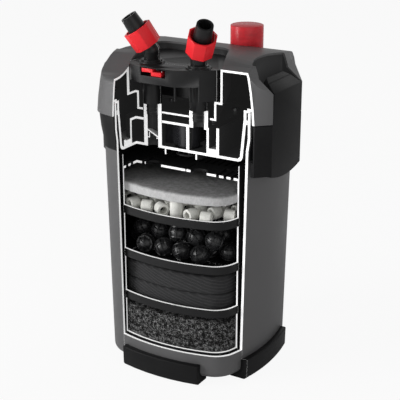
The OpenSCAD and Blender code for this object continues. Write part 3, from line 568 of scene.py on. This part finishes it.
def post(quarter):
    """One of the four posts that carry the lowest basket."""
    s = sizes()
    bottom = s.ground + s.wall - POST_SINK
    rise = s.basket_low - POST_GAP - bottom
    bm = bmesh.new()
    bmesh.ops.create_cone(bm, cap_ends=True, segments=32, radius1=POST_RADIUS, radius2=POST_RADIUS, depth=rise)
    bmesh.ops.translate(bm, vec=(POST_OUT, 0, bottom + rise / 2), verts=bm.verts)
    bmesh.ops.rotate(bm, cent=(0, 0, 0), matrix=Matrix.Rotation(quarter * math.pi / 2, 3, "Z"), verts=bm.verts)
    bmesh.ops.transform(bm, matrix=AXIS, verts=bm.verts)
    return bm


class FILTER_OT_canister(FilterOperator):
    """Canister wall with its cut-out corner"""
    bl_idname = "filter.canister"
    bl_label = "Canister"

    def execute(self, context):
        s = sizes()
        top = high("container")[2]
        outer = stack(wall_levels(0, top))
        inner = stack(wall_levels(s.wall, top)[:-1] + [(top + 0.01, RIM_HALF - s.wall)])
        shell = carve(outer, [("DIFFERENCE", inner)])
        for quarter in range(4):
            shell = carve(shell, [("UNION", post(quarter))])
        shell = carve(shell, [("DIFFERENCE", window(s.cut_z))])
        publish("canister_wall", shell, "container", smooth=25)
        return {"FINISHED"}


class FILTER_OT_collar(FilterOperator):
    """Black collar round the canister's rim"""
    bl_idname = "filter.collar"
    bl_label = "Collar"

    def execute(self, context):
        foot, top, half = low("collar")[2], high("collar")[2], high("collar")[0]
        outer = stack([(foot, 0.1041), (foot + 0.0009, 0.1046), (foot + 0.0025, 0.1051),
                       (foot + 0.012, half - 0.0034), (top - 0.018, half - 0.0014), (top - 0.0012, half),
                       (top - 0.0004, half - 0.0002), (top, half - 0.0007)])
        inner = stack([(foot - 0.002, 0.10347), (SHOULDER_Z, SHOULDER_HALF), (RIM_Z, RIM_HALF),
                       (top + 0.001, RIM_HALF)])
        ring = carve(outer, [("DIFFERENCE", inner), ("DIFFERENCE", window(0))])
        publish("collar_ring", ring, "collar", smooth=28, finish="black_plain")
        return {"FINISHED"}


class FILTER_OT_feet(FilterOperator):
    """Four feet and their rubber pads"""
    bl_idname = "filter.feet"
    bl_label = "Feet"

    def execute(self, context):
        for side in ("front", "right", "back", "left"):
            dress("foot_" + side, 0.0016, angle=40, smooth=30)
        dress("foot_pads", 0.0002, angle=40)
        return {"FINISHED"}


def clamp_skirt(side, end):
    """Lower end of a clamp, which closes the gap between the clamp's wing and the canister."""
    out = high("clamp_right")[0] - 0.0002
    plan = [(0.0988, 0.0583), (0.1004, 0.0583), (out, 0.0387), (out, 0.030), (0.112, 0.030), (0.1045, 0.042)]
    z = low("collar")[2] - SKIRT_DROP
    bm = bmesh.new()
    face = bm.faces.new([bm.verts.new((side * x, end * y + AXIS_Y, z)) for x, y in plan])
    grown = bmesh.ops.extrude_face_region(bm, geom=[face])["geom"]
    bmesh.ops.translate(bm, vec=(0, 0, SKIRT_HEIGHT), verts=[g for g in grown if isinstance(g, bmesh.types.BMVert)])
    bmesh.ops.recalc_face_normals(bm, faces=bm.faces)
    return bm


class FILTER_OT_clamps(FilterOperator):
    """Two side clamps, their hinge lugs and pins"""
    bl_idname = "filter.clamps"
    bl_label = "Clamps"

    def execute(self, context):
        for node, side in (("clamp_left", -1), ("clamp_right", 1)):
            bm = carve(soften(merged(node), 0.0008, 25),
                       [("UNION", clamp_skirt(side, -1)), ("UNION", clamp_skirt(side, 1)), ("DIFFERENCE", window(0))])
            publish(node + "_dressed", bm, node, smooth=30, finish="black_plain")
        dress("hinge_lugs", 0.0003)
        dress("clamp_pins", 0.0002)
        return {"FINISHED"}


# ---------------------------------------------------------------- baskets and media

class FILTER_OT_baskets(FilterOperator):
    """Four stacked baskets and their cover"""
    bl_idname = "filter.baskets"
    bl_label = "Baskets"

    def execute(self, context):
        for node in ("basket_1", "basket_2", "basket_3", "basket_4", "basket_cover"):
            dress(node)
        return {"FINISHED"}


def pad_form(node, edge, rows, wobble, scale, seed):
    """A pad in its CAD solid's room, with rounded edges and an uneven cut surface."""
    half = high(node)[0] - 0.0002
    z0, z1 = low(node)[2] + 0.0001, high(node)[2] - 0.0001
    levels = [(z0, half - edge), (z0 + edge * 0.3, half - edge * 0.3), (z0 + edge, half)]
    levels += [(z0 + edge + (z1 - z0 - 2 * edge) * k / rows, half) for k in range(1, rows)]
    levels += [(z1 - edge, half), (z1 - edge * 0.3, half - edge * 0.3), (z1, half - edge)]
    cap = [half * share for share in (0.88, 0.76, 0.64, 0.52, 0.40, 0.28, 0.16, 0.06)]
    bm = stack([(z0, h) for h in reversed(cap)] + levels + [(z1, h) for h in cap])
    for vert in bm.verts:
        shift = noise.noise(Vector((vert.co.x * scale, vert.co.y * scale, vert.co.z * scale + seed)))
        side = Vector((vert.co.x, vert.co.y - AXIS_Y, 0)).normalized()
        vert.co -= side * wobble * (0.5 + 0.5 * shift)
        if abs(vert.co.x) < half - 0.01 and abs(vert.co.y - AXIS_Y) < half - 0.01:
            vert.co.z += wobble * 0.5 * shift * (1 if vert.co.z < (z0 + z1) / 2 else -1)
    return bm


class FILTER_OT_pads(FilterOperator):
    """Coarse foam, fine sponges and floss"""
    bl_idname = "filter.pads"
    bl_label = "Foam pads"

    def execute(self, context):
        for k, (node, edge, rows, wobble, scale) in enumerate((
            ("coarse_sponge_lower", 0.0016, 9, 0.0010, 260), ("coarse_sponge_upper", 0.0016, 11, 0.0010, 260),
            ("fine_sponge_lower", 0.0030, 9, 0.0012, 150), ("fine_sponge_upper", 0.0030, 9, 0.0012, 150),
            ("floss_pad", 0.0022, 6, 0.0012, 300),
        )):
            bm = pad_form(node, edge, rows, wobble, scale, seed=10.0 * k)
            publish(node.replace("_pad", "") + "_pad", bm, node, smooth=60)
        return {"FINISHED"}


def ball_form():
    """One plastic ball: a round core with raised ribs that cross at its poles."""
    radius, rib = sizes().ball / 2, sizes().rib
    core, rim = radius * 0.88, 0.985
    bm = bmesh.new()
    bmesh.ops.create_uvsphere(bm, u_segments=24, v_segments=14, radius=core)

    def disc(size, turn, z):
        made = bmesh.ops.create_cone(bm, cap_ends=True, segments=28, radius1=size, radius2=size, depth=rib)
        bmesh.ops.rotate(bm, cent=(0, 0, 0), matrix=turn, verts=made["verts"])
        bmesh.ops.translate(bm, vec=(0, 0, z), verts=made["verts"])

    for z in (-radius / 2, 0, radius / 2):
        disc(math.sqrt(radius ** 2 - z ** 2) * rim, Matrix.Identity(3), z)
    for k in range(4):
        disc(radius * rim, Matrix.Rotation(math.pi / 4 * k, 3, "Z") @ Matrix.Rotation(math.pi / 2, 3, "X"), 0)
    return bm


def ball_places():
    """Centres of the balls: two layers, the upper in the hollows of the lower."""
    s = sizes()
    base = low("bio_balls")[2] + s.ball / 2
    pitch = s.ball + BALL_GAP
    rise = math.sqrt(s.ball ** 2 - pitch ** 2 / 2) + LAYER_GAP
    room = BASKET_HALF - s.basket_wall - s.ball / 2 - BALL_MARGIN
    for layer in range(2):
        for i in range(-3, 3):
            for j in range(-3, 3):
                x, y = (i + 0.5 + layer / 2) * pitch, (j + 0.5 + layer / 2) * pitch
                if abs(x) < room and abs(y) < room and abs(x) + abs(y) < BALL_REACH * room:
                    yield x, y + AXIS_Y, base + layer * rise


class FILTER_OT_balls(FilterOperator):
    """Finned plastic balls in the third basket"""
    bl_idname = "filter.balls"
    bl_label = "Bio balls"

    def execute(self, context):
        one = ball_form()
        shape = bpy.data.meshes.new("ball_shape")
        one.to_mesh(shape)
        one.free()
        bm = bmesh.new()
        for count, place in enumerate(ball_places()):
            before = len(bm.verts)
            bm.from_mesh(shape)
            bm.verts.ensure_lookup_table()
            new = bm.verts[before:]
            turn = Matrix.Rotation(count * 2.4, 3, "Z") @ Matrix.Rotation(0.5 + count * 1.1, 3, "X")
            bmesh.ops.rotate(bm, cent=(0, 0, 0), matrix=turn, verts=new)
            bmesh.ops.translate(bm, vec=place, verts=new)
        bpy.data.meshes.remove(shape)
        publish("finned_balls", bm, "bio_balls", smooth=30)
        return {"FINISHED"}


class FILTER_OT_rings(FilterOperator):
    """Ceramic rings in the top basket"""
    bl_idname = "filter.rings"
    bl_label = "Ceramic rings"

    def execute(self, context):
        dress("ceramic_rings", 0.0005, angle=40)
        return {"FINISHED"}


# ---------------------------------------------------------------- motor head

class FILTER_OT_motor(FilterOperator):
    """Motor tray, housing, pump and their small parts"""
    bl_idname = "filter.motor"
    bl_label = "Motor head"

    def execute(self, context):
        for node in ("motor_tray", "motor_housing", "housing_cover_plate"):
            dress(node, finish="head_plastic")
        for node in ("tray_seal", "housing_gasket", "stator", "impeller", "impeller_shaft", "impeller_cover",
                     "inlet_flap", "housing_screws"):
            dress(node)
        return {"FINISHED"}


class FILTER_OT_lid(FilterOperator):
    """Lid with its well, finger scoops, catches and cable gland"""
    bl_idname = "filter.lid"
    bl_label = "Lid"

    def execute(self, context):
        dress("lid_shell", smooth=34)
        dress("lid_scoops", finish="head_plastic")
        dress("lid_well", finish="head_plastic")
        dress("lid_catches", 0.0006)
        dress("cable_gland", 0.0005)
        return {"FINISHED"}


# ---------------------------------------------------------------- valve block, elbows, knob

class FILTER_OT_valve(FilterOperator):
    """Valve block, its seals and the release lever"""
    bl_idname = "filter.valve"
    bl_label = "Valve block"

    def execute(self, context):
        dress("valve_block", finish="black_gloss")
        dress("valve_o_rings")
        dress("release_lever", 0.0004)
        dress("lever_pin")
        return {"FINISHED"}


class FILTER_OT_elbows(FilterOperator):
    """Two hose elbows with their nuts"""
    bl_idname = "filter.elbows"
    bl_label = "Hose elbows"

    def execute(self, context):
        for side in ("left", "right"):
            dress("elbow_" + side, finish="black_gloss")
            dress("hose_nut_" + side, 0.0008, angle=30, smooth=30)
        return {"FINISHED"}


class FILTER_OT_knob(FilterOperator):
    """Priming knob and its bellows"""
    bl_idname = "filter.knob"
    bl_label = "Priming knob"

    def execute(self, context):
        dress("priming_knob", 0.0008, angle=40)
        bellows = dress("priming_bellows")
        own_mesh(bellows)
        return {"FINISHED"}


# ---------------------------------------------------------------- stage

# The frame's width and the focal length in the same pixels, the sensor's width in millimetres, and where the
# camera stands and looks from.
FRAME_PX, FOCAL_PX, SENSOR_MM = 400, 1086.777, 36
CAMERA_PLACE = (0.66654, -1.12450 + AXIS_Y, 0.67589)
AZIMUTH, ELEVATION = math.radians(30.647), math.radians(19.773)

# Lamps: name, place and width in metres, power in watts. All of them face the same point.
LAMPS = (
    ("key", (-1.5, -1.7, 0.75), 1.2, 35),
    ("fill", (1.6, -1.4, 0.9), 1.6, 5),
    ("rim", (0.4, 1.8, 1.6), 1.4, 3),
)
LIT_POINT = Vector((0, AXIS_Y, 0.2))


def add_floor():
    """Plain pale floor, nearly white to the camera; the rest of it keeps the filter's shadow."""
    bm = bmesh.new()
    bmesh.ops.create_grid(bm, x_segments=8, y_segments=8, size=6)
    floor = new_object("floor", bm)
    r = material("floor_paint")
    seen = r.node("ShaderNodeLightPath", out="Is Camera Ray")
    tone = r.mix(r.noise(r.place(), 3, 2), (0.90, 0.90, 0.90), (0.92, 0.92, 0.92))
    diffuse = r.node("ShaderNodeBsdfDiffuse", None, {"Color": tone})
    glow = r.node("ShaderNodeEmission", None, {"Color": (1, 1, 1), "Strength": 1.0})
    surface = r.node("ShaderNodeMixShader", None, {0: seen * 0.92, 1: diffuse, 2: glow})
    r.node("ShaderNodeOutputMaterial", None, {"Surface": surface})
    floor.data.materials.append(r.owner)


def studio():
    """A world that is white behind the filter and lights it softly, more from the sides than from above."""
    w = Recipe(bpy.data.worlds.new("studio"))
    path = w.node("ShaderNodeLightPath", out="Is Camera Ray")
    shown = path.either(path.out("Is Transmission Ray"))
    x, y, z = w.axes(w.node("ShaderNodeTexCoord", out="Generated"))
    dome = 0.62 - 0.50 * z.ramp(0, 1)
    level = shown + (1 - shown) * dome
    back = w.node("ShaderNodeBackground", None, {"Color": (1, 1, 1), "Strength": level})
    w.node("ShaderNodeOutputWorld", None, {"Surface": back})
    return w.owner


def add_lamp(scene, name, place, size, power):
    """A square lamp that faces the filter."""
    lamp = bpy.data.lights.new(name, "AREA")
    lamp.energy, lamp.size = power, size
    holder = bpy.data.objects.new(name, lamp)
    holder.location = place
    holder.rotation_euler = (LIT_POINT - Vector(place)).to_track_quat("-Z", "Y").to_euler()
    scene.collection.objects.link(holder)


def add_camera(scene):
    """The camera, turned by its azimuth and elevation."""
    backwards = Vector((math.sin(AZIMUTH) * math.cos(ELEVATION), -math.cos(AZIMUTH) * math.cos(ELEVATION),
                        math.sin(ELEVATION)))
    camera = bpy.data.objects.new("camera", bpy.data.cameras.new("camera"))
    camera.data.sensor_width, camera.data.lens = SENSOR_MM, SENSOR_MM * FOCAL_PX / FRAME_PX
    camera.location = CAMERA_PLACE
    camera.rotation_euler = backwards.to_track_quat("Z", "Y").to_euler()
    scene.collection.objects.link(camera)
    scene.camera = camera


class FILTER_OT_stage(FilterOperator):
    """Pale floor, soft light and camera"""
    bl_idname = "filter.stage"
    bl_label = "Stage"

    def execute(self, context):
        scene = context.scene
        add_floor()
        scene.world = studio()
        for lamp in LAMPS:
            add_lamp(scene, *lamp)
        add_camera(scene)
        scene.view_settings.view_transform = "Standard"
        return {"FINISHED"}


# ---------------------------------------------------------------- panel and start

PIECES = (
    FILTER_OT_canister, FILTER_OT_collar, FILTER_OT_feet, FILTER_OT_clamps, FILTER_OT_baskets, FILTER_OT_pads,
    FILTER_OT_balls, FILTER_OT_rings, FILTER_OT_motor, FILTER_OT_lid, FILTER_OT_valve, FILTER_OT_elbows,
    FILTER_OT_knob, FILTER_OT_stage,
)


class FILTER_PT_panel(bpy.types.Panel):
    """Sizes and colours of the filter, and a button for each group of its pieces"""
    bl_idname = "FILTER_PT_panel"
    bl_label = "Canister filter"
    bl_space_type = "VIEW_3D"
    bl_region_type = "UI"
    bl_category = "Filter"

    def draw(self, context):
        for group in (context.scene.filter_sizes, context.scene.filter_colours):
            box = self.layout.box()
            for key in group.__annotations__:
                box.prop(group, key)
        for piece in PIECES:
            self.layout.operator(piece.bl_idname)


CLASSES = (FilterSizes, FilterColours, *PIECES, FILTER_PT_panel)


def register():
    for cls in CLASSES:
        bpy.utils.register_class(cls)
    bpy.types.Scene.filter_sizes = bpy.props.PointerProperty(type=FilterSizes)
    bpy.types.Scene.filter_colours = bpy.props.PointerProperty(type=FilterColours)


def unregister():
    del bpy.types.Scene.filter_colours
    del bpy.types.Scene.filter_sizes
    for cls in reversed(CLASSES):
        bpy.utils.unregister_class(cls)


def main():
    register()
    for piece in PIECES:
        group, name = piece.bl_idname.split(".")
        getattr(getattr(bpy.ops, group), name)()


if __name__ == "__main__":
    main()
